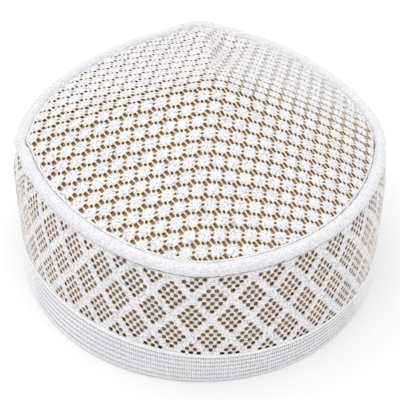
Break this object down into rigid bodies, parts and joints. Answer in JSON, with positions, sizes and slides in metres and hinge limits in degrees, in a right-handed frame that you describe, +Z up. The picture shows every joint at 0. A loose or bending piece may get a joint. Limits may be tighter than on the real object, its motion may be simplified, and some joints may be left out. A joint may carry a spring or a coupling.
{
  "type": "openwork knitted kufi cap",
  "caption": "Round kufi cap with a soft peaked crown, a rolled rim seam, an openwork side band with diamonds and a plain knitted hem, lined in brown cloth.",
  "frame": {"origin": "on the surface that the hem stands on, under the middle of the cap", "axes": "+Z up out of the crown, +Y from front to back, +X to the right as seen from the front"},
  "size_m": [0.1872, 0.2044, 0.1064],
  "materials": {
    "openwork_knit": "soft white knitted openwork, matt",
    "seam_roll": "fuzzy white rolled seam, matt",
    "hem_knit": "plain white stocking stitch, matt",
    "lining_cloth": "plain brown woven cloth, matt"
  },
  "bodies": {
    "root": {"hem_band": "hem_knit", "side_band": "openwork_knit", "side_lining": "lining_cloth", "rim_seam": "seam_roll", "crown": "openwork_knit", "crown_lining": "lining_cloth"}
  },
  "joints": []
}
